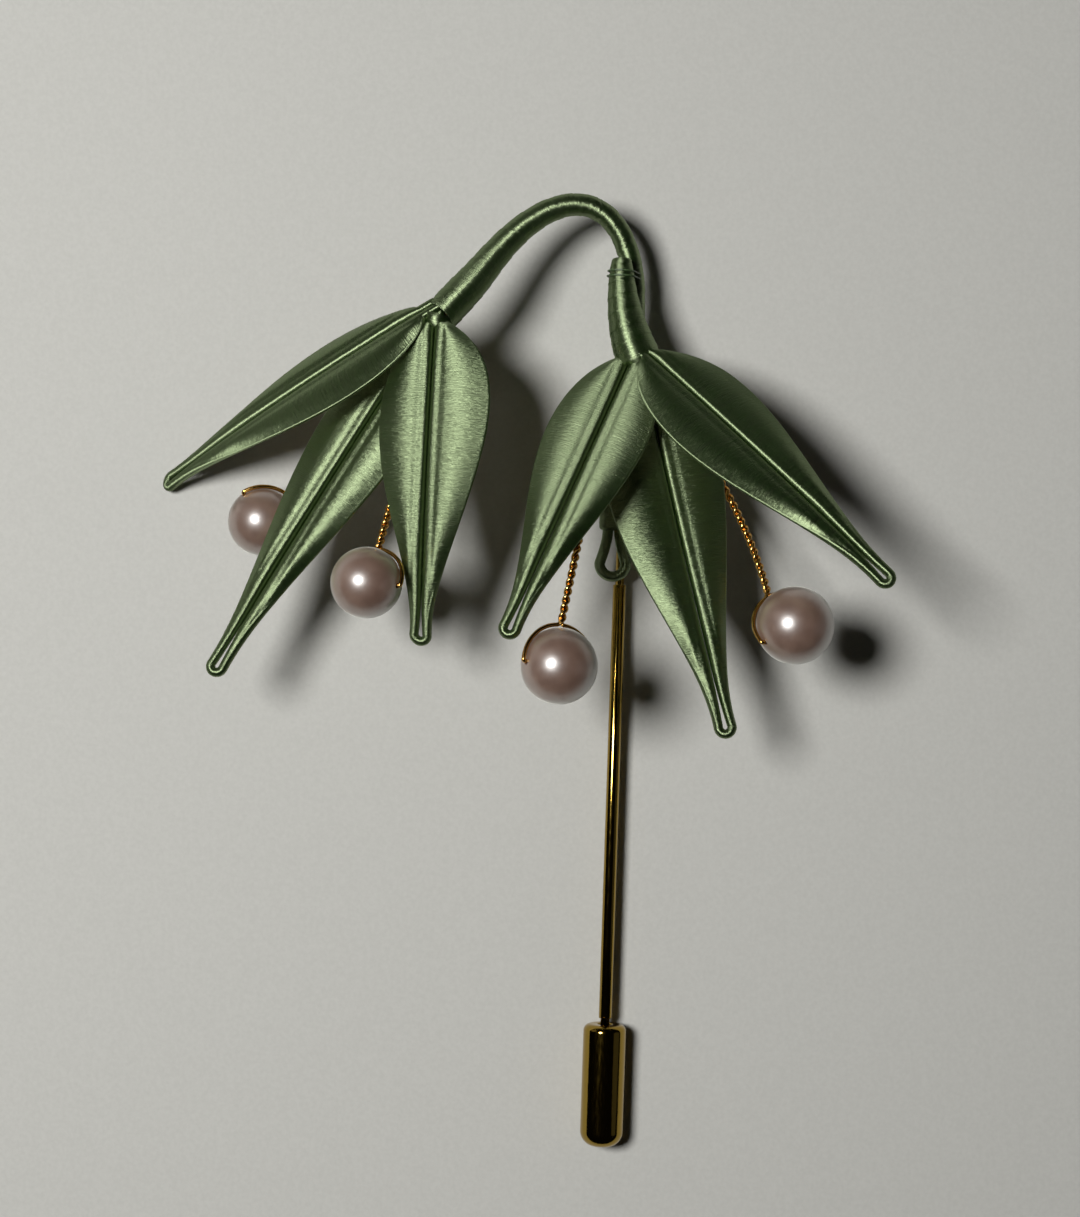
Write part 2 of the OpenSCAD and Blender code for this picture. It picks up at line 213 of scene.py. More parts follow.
# %% Camera
CAMERA_AT = Vector((-0.00787, -0.00261, 0.25))
CAMERA_TURN = 1.9  # degrees anticlockwise, so the pin looks turned clockwise
CAMERA_ANGLE = 27.36  # degrees
camera_data = bpy.data.cameras.new("camera")
camera_data.sensor_fit = "VERTICAL"
camera_data.angle = np.radians(CAMERA_ANGLE)
camera_data.clip_start = 0.01
camera = bpy.data.objects.new("camera", camera_data)
camera_turned = Matrix.Rotation(np.radians(CAMERA_TURN), 4, "Z")
camera.matrix_world = Matrix.Translation(CAMERA_AT) @ camera_turned
bpy.context.scene.collection.objects.link(camera)
bpy.context.scene.camera = camera
bpy.context.scene.view_settings.view_transform = "Standard"
print("camera height, mm:", CAMERA_AT.z / MM)


# %% Light
def lamp(name, towards, distance, diameter, watts, colour):
    """A round area lamp on a line from the pin's middle, facing it. Lengths are in metres."""
    data = bpy.data.lights.new(name, "AREA")
    data.shape = "DISK"
    data.size = diameter
    data.energy = watts
    data.color = linear(colour)[:3]
    lit = bpy.data.objects.new(name, data)
    away = Vector(towards).normalized()
    facing_pin = away.to_track_quat("Z", "Y").to_matrix().to_4x4()
    lit.matrix_world = Matrix.Translation(away * distance) @ facing_pin
    bpy.context.scene.collection.objects.link(lit)
    print(name, "power, watts:", watts)


lamp("key_lamp", (-0.46, 0.12, 1.0), distance=0.42, diameter=0.12, watts=1.72, colour="#fffefb")
lamp("left_wall", (-1, 0.5, 0.35), distance=0.5, diameter=0.3, watts=0.05, colour="#fff6ec")
lamp("right_wall", (1, -0.1, 0.45), distance=0.8, diameter=0.5, watts=0.04, colour="#f4f6ff")
ROOM_STRENGTH = 0.03  # the rest of the room, well below the lamps
world = bpy.data.worlds.new("dim_room")
world.use_nodes = True
background = world.node_tree.nodes["Background"]
background.inputs["Color"].default_value = linear("#5c5a56")
background.inputs["Strength"].default_value = ROOM_STRENGTH
bpy.context.scene.world = world

# %% Paper floor
FIBRE_SCALE = 2500.0  # noise cells per metre: paper fibre clumps of about 0.4 mm
PAPER_REACH = 0.6  # from the middle of the sheet to each side
material, tree = new_material("pale_paper_sheet")
place = add(tree, "TexCoord").outputs["Object"]
fibre = add(tree, "TexNoise", {"Vector": place, "Scale": FIBRE_SCALE, "Detail": 4.0})
bump = add(tree, "Bump", {"Height": fibre.outputs["Fac"], "Strength": 0.15, "Distance": 0.00004})
shader = add(tree, "BsdfPrincipled", {
    "Base Color": ramp(tree, fibre.outputs["Fac"], [(0.3, "#bfbfbb"), (0.7, "#c5c5c1")]),
    "Roughness": 0.85,
    "Normal": bump.outputs["Normal"],
})
add(tree, "OutputMaterial", {"Surface": shader.outputs["BSDF"]})
floor_z = cad_box[0][2]  # the pin's lowest point
signs = ((-1, -1), (1, -1), (1, 1), (-1, 1))
corners = [(x * PAPER_REACH, y * PAPER_REACH, floor_z) for x, y in signs]
floor_mesh = bpy.data.meshes.new("floor")
floor_mesh.from_pydata(corners, [], [(0, 1, 2, 3)])
floor = bpy.data.objects.new("floor", floor_mesh)
floor.data.materials.append(material)
bpy.context.scene.collection.objects.link(floor)
print("floor at z, mm:", round(floor_z / MM, 2))

# %% [markdown]
# ## Wound silk floss
# Floss is untwisted silk: hundreds of straight shiny filaments laid side by side. Each filament is
# a tiny round mirror, so a band of light runs at right angles to the threads. The threads cross
# the leaf, so the band runs along it. The shader's anisotropy does this, with its tangent taken
# from the UV map, whose U runs along the piece. Filaments are about 0.015 mm, too fine to see, so
# the pattern draws strands of about 0.12 mm. U and V are in millimetres, so a Mapping node's
# scale is a number of noise cells per millimetre.

# %% Silk sizes
STRANDS = (9, 0.5, 1)  # one strand is about 0.12 mm wide
BANDS = (2.2, 0.3, 1)  # bands about 0.5 mm wide, where one length of floss took more dye
FLECKS = (9, 1.3, 1)  # short fibres that stand out, under 1 mm long
FLECKS_SHIFT = (3, 7, 0)  # so that the flecks don't follow the strands
STRAND_HEIGHT = 0.00007  # metres, as a Bump node needs
print("strand width, mm:", round(1 / STRANDS[0], 2))


# %% Silk material
def wound_silk(name, shade, light, roughness):
    """Dyed silk floss, wound: strands cross the U direction, each a little lighter or darker."""
    material, tree = new_material(name)
    uv = add(tree, "UVMap", uv_map="UVMap").outputs["UV"]
    strands = add(tree, "Mapping", {"Vector": uv, "Scale": STRANDS}).outputs["Vector"]
    strand = add(tree, "TexNoise", {"Vector": strands, "Scale": 1.0, "Detail": 3.0})
    bands = add(tree, "Mapping", {"Vector": uv, "Scale": BANDS}).outputs["Vector"]
    band = add(tree, "TexNoise", {"Vector": bands, "Scale": 1.0, "Detail": 2.0})
    tone = add(tree, "Math", {0: strand.outputs["Fac"], 1: band.outputs["Fac"]}, operation="ADD")
    mean_tone = add(tree, "Math", {0: tone.outputs[0], 1: 0.5}, operation="MULTIPLY")
    colour = ramp(tree, mean_tone.outputs[0], [(0.36, shade), (0.64, light)])
    flecks = add(tree, "Mapping", {"Vector": uv, "Scale": FLECKS, "Location": FLECKS_SHIFT})
    fleck = add(tree, "TexNoise", {
        "Vector": flecks.outputs["Vector"], "Scale": 1.0, "Detail": 3.0})
    height = add(tree, "Math", {
        0: strand.outputs["Fac"], 1: fleck.outputs["Fac"]}, operation="ADD")
    bump = add(tree, "Bump", {
        "Height": height.outputs[0], "Strength": 1.0, "Distance": STRAND_HEIGHT})
    tangent = add(tree, "Tangent", direction_type="UV_MAP", uv_map="UVMap")
    shader = add(tree, "BsdfPrincipled", {
        "Base Color": colour,
        "Roughness": roughness,
        "IOR": 2.4,
        "Specular IOR Level": 1.0,
        "Specular Tint": linear("#d2e6b4"),
        "Anisotropic": 0.93,
        "Sheen Weight": 0.02,
        "Sheen Roughness": 0.3,
        "Sheen Tint": linear("#cfdcba"),
        "Normal": bump.outputs["Normal"],
        "Tangent": tangent.outputs["Tangent"],
    })
    add(tree, "OutputMaterial", {"Surface": shader.outputs["BSDF"]})
    return material


leaf_silk = wound_silk("dyed_silk_floss_wound_on_card", "#051002", "#112407", roughness=0.47)
stem_silk = wound_silk("dyed_silk_floss_wound_on_stem", "#051002", "#112407", roughness=0.45)
print("silk:", leaf_silk.name, "and", stem_silk.name)


# %% Strand relief
def relief(rows, columns, height, across=14):
    """Low ridges that run across: noise that changes at every row but slowly along a row, which is
    random numbers on a coarse set of columns, spread between them and smoothed over three rows."""
    coarse = random.standard_normal((rows, across))
    kernel = np.array([0.25, 0.5, 0.25])
    coarse = np.apply_along_axis(lambda column: np.convolve(column, kernel, "same"), 0, coarse)
    place = np.arange(columns) * across / columns
    low = place.astype(int)
    part = place - low
    return height * (coarse[:, low] * (1 - part) + coarse[:, (low + 1) % across] * part)


# %% [markdown]
# ## Leaves
# A leaf is one strip of card with a wire along its edge, wound crosswise with floss, and then
# folded in half at its narrow waist. The waist makes the little loop at the tip, and the two wired
# edges lie side by side as the midrib, with a dark groove between them. So each half is a tube
# with a section that is round at the wire and flat over the card. Its middle line, roll, fold and
# width are measured from the solid model. Only the fold is made flatter, because the surface is
# arched as well.

# %% Leaf sizes, in metres
LEAVES = ("left_outer", "left_middle", "left_inner", "right_inner", "right_middle", "right_outer")
RIB = 0.45 * MM  # radius of the wrapped wire
WIRE_OUT = 0.6 * MM  # from the midrib to the middle of either solid wire
GROOVE = 0.03 * MM  # gap between the two ribs
TIP_GAP = 0.42 * MM  # the same gap in the loop at the tip
OPENS_AT, OPENS_OVER = 0.84, 0.16  # shares of the length where the gap starts and has opened
ROOT = 0.05  # share of the leaf's length that the ribs run on into the stem
RIM = 0.15 * MM  # radius of the outer edge
BELLY = 0.1 * MM  # how far the wound card swells in its middle
CAMBER = 0.28 * MM  # how far a half arches across its width
DIP = 0.07 * MM  # depth of the valley beside the rib
DIP_AT, DIP_WIDTH = 2.2 * RIB, 0.5 * RIB  # the valley's place from the groove, and its width
SHAPED_AT = 1.5 * MM  # width beyond the wire where the section has its whole shape
HAIR = 1e-6  # a width that is as good as nothing, but divides safely
WIDEST = 0.3  # share of the length where a leaf is widest
FULLNESS = 0.76  # power of the rise to the widest place: below 1 is round-shouldered
FOLD_SHARE = 0.6  # share of the solid's fold that is kept
STRAND_SLANT = 0.17  # how far a strand climbs along the strip for each step across
LEAF_RELIEF, TIP_RELIEF = 0.006 * MM, 0.004 * MM
ROW_STEP = 0.07 * MM  # between rings
COLUMNS, TIP_ROWS = 56, 60


def gap(t):
    """Gap between the ribs: closed, then opening as a square over the last part of the leaf."""
    return GROOVE + (TIP_GAP - GROOVE) * np.clip((t - OPENS_AT) / OPENS_OVER, 0, 1) ** 2


def outline(t):
    """Width along a leaf: a power of t times a power of 1 - t, and 1 at the widest place."""
    t = np.clip(t, 0, 1)
    falling = FULLNESS * (1 - WIDEST) / WIDEST
    return (t / WIDEST) ** FULLNESS * ((1 - t) / (1 - WIDEST)) ** falling


def leaf_lines(leaf):
    """Measures a leaf's solids. Returns its middle line and its directions along, across and up
    as functions of t, then the fold in radians, both half widths and the length."""
    wire = points_of(f"{leaf}_wire")
    sides = [points_of(f"{leaf}_silk_a"), points_of(f"{leaf}_silk_b")]
    tip = points_of(f"{leaf}_silk_tip").mean(0)
    far = np.linalg.norm(wire - tip, axis=1)
    base = wire[far > far.max() - 0.4 * MM].mean(0)  # the cut ends of the wire
    chord = tip - base
    last_rings = [ahead[ahead > ahead.max() - np.linalg.norm(chord) * MM]
                  for ahead in ((side - base) @ chord for side in sides)]
    end = np.mean([ring.mean() for ring in last_rings])

    def share(points):
        return (points - base) @ chord / end

    wire = wire[share(wire) < 0.97]  # both runs, without the bend at the tip
    rough = fitted(share(wire), wire, 3)
    across = sides[1].mean(0) - sides[0].mean(0)
    on_b = ((wire - rough(share(wire))) @ across) > 0
    line_a = fitted(share(wire[~on_b]), wire[~on_b], 3)
    line_b = fitted(share(wire[on_b]), wire[on_b], 3)

    def both(t):
        return (line_a(t) + line_b(t)) / 2

    def axes(t):
        along = slope(both, t)
        out = line_b(t) - line_a(t)
        out = unit(out - along * (out * along).sum(-1, keepdims=True))
        return along, out, np.cross(along, out)

    halves, drops = [], []
    for side, points in zip((-1, 1), sides):
        t = share(points)
        _, out, top = axes(t)
        away = points - both(t)
        reach_out, height = side * (away * out).sum(-1), (away * top).sum(-1)
        edge = reach_out > 0.97 * reach_out.max()  # the outer edge at its widest
        halves.append(np.hypot(reach_out, height).max())
        drop = np.arctan2(-height[edge].mean(), reach_out[edge].mean())
        drops.append(drop / (1 - t[edge].mean()))
    fold = FOLD_SHARE * float(np.mean(drops))

    def middle(t):
        return both(t) + axes(t)[2] * (WIRE_OUT * np.sin(fold * (1 - t)))[..., None]

    return middle, axes, fold, halves, end / np.linalg.norm(chord)


def half_section(swell):
    """Section of a half, as x from the groove and y from its middle, for the given widths beyond
    the wire. x goes out and back as a cosine. y is a circle over the wire, a straight taper with a
    sine's belly and a bell-shaped dip over the card, and a small circle at the edge. The whole
    section also arches by a sine of x. The third value is above 0 on the upper side."""
    turn = full_turn(COLUMNS)
    width = 2 * RIB + swell
    x = width / 2 * (1 - np.cos(turn))
    ready = np.clip(swell / SHAPED_AT, 0, 1)
    rim = RIB + (RIM - RIB) * ready
    flat = np.clip((x - RIB) / (width - RIB - rim + 1e-9), 0, 1)
    dip = DIP * np.exp(-((x - DIP_AT) / DIP_WIDTH) ** 2)
    body = RIB + (rim - RIB) * flat + ready * (BELLY * np.sin(np.pi * flat) - dip)
    rise = ready * CAMBER * np.sin(np.pi * np.clip(x / width, 0, 1)) ** 1.2
    inner = np.sqrt(np.clip(RIB ** 2 - (x - RIB) ** 2, 0, None))
    outer = np.sqrt(np.clip(rim ** 2 - (x - width + rim) ** 2, 0, None))
    y = np.where(x < RIB, inner, np.where(x > width - rim, outer, body))
    return x, y * np.sign(np.sin(turn) + 1e-12) + rise, np.sin(turn)


def leaf_half(name, lines, side):
    """A wound half. Rows follow the strands, which slant a little, so t changes with x."""
    middle, axes, fold, halves, length = lines
    rows = int(length / ROW_STEP)
    t = np.linspace(-ROOT, 1, rows)[:, None]
    widest = halves[0] if side < 0 else halves[1]
    swell = (widest - GROOVE / 2 - 2 * RIB) * outline(t) + HAIR
    x, y, up_down = half_section(swell)
    strands = relief(rows, COLUMNS, LEAF_RELIEF)
    y = y + np.abs(up_down) ** 0.5 * np.sign(up_down) * strands
    t = t - side * STRAND_SLANT * x / length * np.clip(4 * t * (1 - t), 0, 1)
    _, out, top = axes(t)
    lean = (fold * (1 - t))[..., None]
    outward = side * out * np.cos(lean) - top * np.sin(lean)
    upward = top * np.cos(lean) + side * out * np.sin(lean)
    grid = middle(t) + outward * (gap(t) / 2 + x)[..., None] + upward * y[..., None]
    return skin(name, grid, length=t * length / MM, across=x / MM)


def leaf_tip(name, lines):
    """The folded waist: the wire's round section, carried half a turn round the tip."""
    middle, axes, _, _, length = lines
    turn = np.linspace(0, np.pi, TIP_ROWS)[:, None]
    x, y, up_down = half_section(np.full((TIP_ROWS, 1), HAIR))
    y = y + up_down * relief(TIP_ROWS, COLUMNS, TIP_RELIEF)
    at_tip = np.ones_like(x)
    along, out, top = axes(at_tip)
    outward = -out * np.cos(turn)[..., None] + along * np.sin(turn)[..., None]
    grid = middle(at_tip) + outward * (TIP_GAP / 2 + x)[..., None] + top * y[..., None]
    grid[..., 2] = np.maximum(grid[..., 2], floor_z)  # it rests on the paper
    bend_mm = 0.6  # radius of the wire's own bend
    return skin(name, grid, length=(length / MM + turn * bend_mm) * at_tip, across=x / MM)


# %% Build the leaves
for leaf in LEAVES:
    lines = leaf_lines(leaf)
    for letter, side in (("a", -1), ("b", 1)):
        node = f"{leaf}_silk_{letter}"
        finish_piece(leaf_half(node + "_floss", lines, side), "head", "leaf_silk", leaf_silk, node)
    node = f"{leaf}_silk_tip"
    finish_piece(leaf_tip(node + "_floss", lines), "head", "leaf_tip_silk", leaf_silk, node)
    _, _, fold, halves, _ = lines
    halves_mm = np.round(np.array(halves) / MM, 2)
    print(leaf, "halves, mm:", halves_mm, "fold, degrees:", round(np.degrees(fold), 1))

# %% [markdown]
# ## Stems
# The leaf wires are bundled and wound with floss from the flower down, so a stem tapers where
# wires end and shows faint spiral steps where each turn laps over the last. The bundle's middle is
# measured from the solid wires, the radius from the solid silk, and the strands are relief.


# %% Tube along a curve
def rings(centres, side, top, radius, turn):
    """A circle at each centre: the radius times the cosine of turn along side, plus the radius
    times its sine along top."""
    cosine, sine = np.cos(turn)[None, :, None], np.sin(turn)[None, :, None]
    circle = cosine * side[:, None] + sine * top[:, None]
    return centres[:, None] + radius[..., None] * circle


def square_axes(curve, s):
    """Directions square to a curve at s: a side, and the top nearest to straight up."""
    ahead = slope(curve, s)
    top = unit(np.array([0, 0, 1]) - ahead * ahead[:, 2:3])
    return np.cross(top, ahead), top


def quarter_circle(share):
    """Height of a round end at a share of its length: the square root of 1 less the share
    squared, kept above 0 so that the last ring isn't a point."""
    return np.sqrt(np.clip(1 - share ** 2, 0.02, 1))


# %% Wound stem
LAP_STEP = 0.055 * MM  # how far a turn of floss stands out where it laps over the last
STEM_RELIEF = 0.01 * MM
STEM_FULLER = 0.1 * MM  # the wound stem rounds out the solid's flat facets
SUNK = 0.03 * MM  # takes back the mean height of laps and strands
STEM_COLUMNS = 48


def wound_stem(name, node, wires_node, share, degree, lap, caps):
    """A wound stem. share(points) numbers points along it from 0 to 1, lap is the length that one
    turn of floss covers, and caps are the lengths of the domes beyond both ends."""
    wires, silk = points_of(wires_node), points_of(node)
    centre = fitted(share(wires), wires, degree)
    s = share(silk)
    away = np.linalg.norm(silk - centre(s), axis=1)
    smooth = fitted(s, np.stack([away] * 3, axis=1), 4)
    length = curve_length(centre)
    place = np.linspace(-caps[0], length + caps[1], int((length + sum(caps)) / ROW_STEP))
    shares = np.clip(place / length, 0, 1)
    beyond = place - shares * length
    dome = quarter_circle(beyond / np.where(beyond < 0, *caps))
    rows, columns = len(place), STEM_COLUMNS
    wound = shares[:, None] * length / lap - np.arange(columns)[None, :] / columns
    bumps = LAP_STEP * (wound % 1) + relief(rows, columns, STEM_RELIEF) - SUNK
    radius = (smooth(shares)[:, 0] + STEM_FULLER) * dome
    turn = full_turn(columns)  # on a stem this thin, a radian is about a millimetre
    side, top = square_axes(centre, shares)
    grid = rings(centre(shares), side, top, radius[:, None] + bumps * dome[:, None], turn)
    grid = grid + (slope(centre, shares) * beyond[:, None])[:, None]
    along = np.broadcast_to((place / MM)[:, None], (rows, columns))
    around = np.broadcast_to(turn[None, :], (rows, columns))
    return skin(name, grid, length=along, across=around), length


def angle_share(pivot, start, end):
    """Numbers points by their angle about a pivot, from start to end degrees."""
    def share(points):
        angle = np.degrees(np.arctan2(points[:, 1] - pivot[1], points[:, 0] - pivot[0]))
        return (angle - start) / (end - start)
    return share


def measured_share(node, raw):
    """raw, stretched so that a node's points run from 0 to 1."""
    values = raw(points_of(node))
    low, high = values.min(), values.max()
    return lambda points: (raw(points) - low) / (high - low)


# %% Build the stems
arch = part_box("main_stem_silk")
pivot = ((arch[0].x + arch[1].x) / 2, arch[0].y - 2 * MM)
main_share = measured_share("main_stem_silk", angle_share(pivot, 180, 0))
main, length = wound_stem(
    "main_stem_floss", "main_stem_silk", "main_stem_wires", main_share,
    degree=8, lap=1.9 * MM, caps=(0.4 * MM, 0.4 * MM))
finish_piece(main, "head", "stem_silk", stem_silk, "main_stem_silk")
print("main stem, mm:", round(length / MM, 1))
short_share = measured_share("short_stem_silk", lambda points: -points[:, 1])
short, length = wound_stem(
    "short_stem_floss", "short_stem_silk", "short_stem_wires", short_share,
    degree=3, lap=1.6 * MM, caps=(0.35 * MM, 0.5 * MM))
finish_piece(short, "head", "stem_silk", stem_silk, "short_stem_silk")
print("short stem, mm:", round(length / MM, 1))

# %% [markdown]
# ## Tail loop and binding
# One wrapped wire is bent double below the right flower and laid against the needle, and more
# floss binds all three together. The loop is a tube along its bent line. The binding is stretched
# round three circles, like a belt round pulleys: in each direction it touches the circle that
# reaches furthest.


# %% Tube along a list of points
def evenly(path, step):
    """The same path with points a step apart, found along its running length."""
    run = np.append(0, np.cumsum(np.linalg.norm(np.diff(path, axis=0), axis=1)))
    marks = np.linspace(0, run[-1], int(run[-1] / step))
    return np.stack([np.interp(marks, run, path[:, k]) for k in range(3)], axis=1), marks


def softened(path, points):
    """A running mean over a few points rounds the path's corners. The ends stay."""
    kernel = np.hanning(points + 2)[1:-1]
    kernel = kernel / kernel.sum()
    start, end = (np.repeat(point, points // 2, 0) for point in (path[:1], path[-1:]))
    padded = np.vstack([start, path, end])
    return np.stack([np.convolve(padded[:, k], kernel, "valid") for k in range(3)], axis=1)


def carried_sides(ahead):
    """A side vector for each ring, carried along so that it never turns about the path: each is
    the last one with its part along the path taken out."""
    side = unit(np.cross(ahead[0], [0.3, 0.2, 1.0]))
    sides = []
    for direction in ahead:
        side = unit(side - direction * (side @ direction))
        sides.append(side)
    return np.array(sides)


def along_path(name, path, marks, radius, columns, bumps=0.0):
    """Rings of one radius along a path, each square to it."""
    ahead = unit(np.gradient(path, axis=0))
    side = carried_sides(ahead)
    top = np.cross(ahead, side)
    turn = full_turn(columns)
    grid = rings(path, side, top, radius + np.zeros((len(path), columns)) + bumps, turn)
    ones = np.ones((len(path), columns))
    return skin(name, grid, length=marks[:, None] / MM * ones, across=turn * ones)


# %% Tail loop
LEGS_APART = 0.04 * MM  # half the gap between the two runs, where they lie side by side
LOOP_RELIEF = 0.006 * MM
LOOP_COLUMNS = 32
low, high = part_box("tail_loop_silk")
binding_low, binding_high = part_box("needle_binding")
strand_r = (high.z - low.z) / 2
half = (high.x - low.x) / 2 - strand_r
middle_x, loop_z = (low.x + high.x) / 2, (low.z + high.z) / 2
bend_y = low.y + strand_r + half
neck_y = binding_low.y - 0.2 * MM  # the runs start to part just below the binding
leg = strand_r + LEGS_APART
leg_y = np.concatenate([[high.y], np.linspace(neck_y + 1 * MM, bend_y, 24)])
open_by = np.clip((neck_y - leg_y) / (neck_y - bend_y), 0, None) ** 1.5
leg_x = leg + (half - leg) * open_by
turn = np.linspace(0, -np.pi, 40)[1:-1]
xs = np.concatenate([leg_x, half * np.cos(turn), -leg_x[::-1]])
ys = np.concatenate([leg_y, bend_y + half * np.sin(turn), leg_y[::-1]])
bent_line = np.stack([middle_x + xs, ys, np.full_like(xs, loop_z)], axis=1)
path, marks = evenly(bent_line, ROW_STEP)
bumps = relief(len(path), LOOP_COLUMNS, LOOP_RELIEF, across=8) - 0.01 * MM
loop = along_path("tail_loop_floss", path, marks, strand_r, LOOP_COLUMNS, bumps)
finish_piece(loop, "head", "loop_silk", stem_silk, "tail_loop_silk")
print("tail loop strand, mm:", round(marks[-1] / MM, 1))


# %% Binding
def round_ends(shares, length, r):
    """Share of the binding's thickness: 1, and a quarter circle over a length r at both ends."""
    from_end = np.minimum(shares, 1 - shares) * length
    return quarter_circle(1 - np.clip(from_end / r, 0, 1))


BINDING_RELIEF = 0.008 * MM
BINDING_COLUMNS = 64
needle_r = record["mounts"][0]["dims"]["r_mm"] * MM
pulleys_r = np.array([needle_r - 0.05 * MM, strand_r, strand_r])  # the floss grips the needle
pulleys_at = np.array([(0, 0), (middle_x - leg, loop_z), (middle_x + leg, loop_z)])
tall = binding_high.y - binding_low.y
rows, columns = int(tall / ROW_STEP), BINDING_COLUMNS
turn = full_turn(columns)
facing = np.stack([np.cos(turn), np.sin(turn)], axis=1)
furthest = (facing @ pulleys_at.T + pulleys_r).argmax(axis=1)
touching = pulleys_at[furthest] + facing * pulleys_r[furthest][:, None]
thick = binding_high.z - loop_z - strand_r
shares = np.linspace(0, 1, rows)
ends = round_ends(shares, tall, thick)[:, None]
layer = thick * ends + relief(rows, columns, BINDING_RELIEF) * ends - 0.015 * MM
xz = touching[None] + facing[None] * layer[..., None]
y = binding_low.y + tall * shares
grid = np.stack([xz[..., 0], np.broadcast_to(y[:, None], (rows, columns)), xz[..., 1]], axis=-1)
ones = np.ones((rows, columns))
binding = skin("needle_binding_floss", grid, length=y[:, None] / MM * ones, across=turn * ones)
finish_piece(binding, "head", "binding_silk", stem_silk, "needle_binding")
print("binding, mm:", round(tall / MM, 1), "long,", round(thick / MM, 2), "thick")

# %% [markdown]
# ## Polished gold plate
# The needle, the clutch and the pearl wires are brass with bright gold plate. A polished metal has
# almost no colour of its own: it shows the dim room, the pale walls and the paper, tinted gold.
# Drawing the wire leaves faint lengthwise lines, and handling leaves fine scratches, so a little
# noise breaks up the roughness.


# %% Gold materials
DRAWN_LINES = (6000, 900, 6000)  # noise cells per metre: 0.17 mm apart, and 1.1 mm long down Y


def gold_plate(name, colour, roughness, wear):
    """Gold plate over brass: fully metallic, with patchy roughness and a slight waviness."""
    material, tree = new_material(name)
    place = add(tree, "TexCoord").outputs["Object"]
    lines = add(tree, "Mapping", {"Vector": place, "Scale": DRAWN_LINES}).outputs["Vector"]
    scratch = add(tree, "TexNoise", {"Vector": lines, "Scale": 1.0, "Detail": 3.0}).outputs["Fac"]
    rough = add(tree, "MapRange", {
        "Value": scratch, "From Min": 0.35, "From Max": 0.7,
        "To Min": roughness, "To Max": roughness + wear})
    bump = add(tree, "Bump", {"Height": scratch, "Strength": 0.08, "Distance": 0.00003})
    shader = add(tree, "BsdfPrincipled", {
        "Base Color": linear(colour),
        "Metallic": 1.0,
        "Roughness": rough.outputs["Result"],
        "Normal": bump.outputs["Normal"],
    })
    add(tree, "OutputMaterial", {"Surface": shader.outputs["BSDF"]})
    return material


polished_gold = gold_plate("polished_gold_plated_brass", "#a3873c", roughness=0.07, wear=0.06)
bright_wire = gold_plate("bright_gold_plated_wire", "#cf9f55", roughness=0.14, wear=0.1)
print("gold:", polished_gold.name, "and", bright_wire.name)


# %% A turned part
def turned(name, profile, columns=72):
    """Surface of revolution about the needle's axis: each (distance down the axis, radius) of the
    profile becomes a ring in the plane square to Y."""
    down, r = np.array(profile).T
    turn = full_turn(columns)
    grid = np.stack([
        r[:, None] * np.cos(turn), np.broadcast_to(-down[:, None], (len(down), columns)),
        r[:, None] * np.sin(turn)], axis=-1)
    return skin(name, grid)


def corner(down, r, size, start, end, steps=10):
    """Points of a round corner: an arc about (down, r) from one angle to another, in degrees."""
    angle = np.radians(np.linspace(start, end, steps))
    return [(down + size * np.sin(a), r + size * np.cos(a)) for a in angle]


# %% Needle
POINT_LENGTH = 2.4 * MM  # of the ground point
EASE = 0.02 * MM  # an edge broken by polishing
pin = record["mounts"][0]["dims"]
shank_r, shank_end = pin["r_mm"] * MM, pin["length_mm"] * MM
low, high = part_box("needle")
solid = points_of("needle")
tang_r = np.hypot(solid[:, 0], solid[:, 2])[solid[:, 1] > 1 * MM].max()
point_from = -low.y - POINT_LENGTH
profile = [(-high.y, 1e-6), (-high.y, tang_r - 0.05 * MM), (-high.y + 0.05 * MM, tang_r)]
profile += [(-0.05 * MM, tang_r), (0, shank_r - EASE), (0.04 * MM, shank_r)]
profile += [(shank_end - 0.06 * MM, shank_r), (shank_end, shank_r - EASE), (shank_end, tang_r)]
profile += [(point_from - 0.1 * MM, tang_r), (point_from + 0.1 * MM, tang_r - EASE)]
profile += corner(-low.y - 0.1 * MM, 0, 0.1 * MM, 10, 89)
needle = turned("needle_plated", profile)
finish_piece(needle, "head", "needle", polished_gold, "needle")
print("needle, mm:", round((high.y - low.y) / MM, 1), "long,", round(2 * shank_r / MM, 2), "thick")

# %% Clutch
low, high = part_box("clutch_shell")
shell_r = (high.x - low.x) / 2
top_face, bottom = -high.y, -low.y
shell = points_of("clutch_shell")
mouth = np.hypot(shell[:, 0], shell[:, 2])[np.abs(shell[:, 1] - high.y) < 0.01 * MM].min()
WALL = 0.35 * MM  # thickness of the drawn shell
SHOULDER, HEEL = 0.7 * MM, 1.5 * MM  # radii of the round corners at its mouth and its closed end
profile = [(bottom, 1e-6)] + corner(bottom - HEEL, shell_r - HEEL, HEEL, 90, 0, 16)
profile += corner(top_face + SHOULDER, shell_r - SHOULDER, SHOULDER, 0, -90)
profile += corner(top_face + WALL / 2, mouth + WALL / 2, WALL / 2, -90, -270, 8)
inner_r, inner_heel = shell_r - WALL, HEEL - WALL
profile += [(top_face + WALL, inner_r - 0.05 * MM), (top_face + WALL + 0.05 * MM, inner_r)]
profile += corner(bottom - HEEL, inner_r - inner_heel, inner_heel, 0, 90, 12)
profile += [(bottom - WALL, 1e-6)]
clutch = turned("clutch_shell_plated", profile, columns=96)
finish_piece(clutch, "clutch", "clutch_shell", polished_gold, "clutch_shell")
print("clutch, mm:", round(2 * shell_r / MM, 2), "by", round((high.y - low.y) / MM, 2))
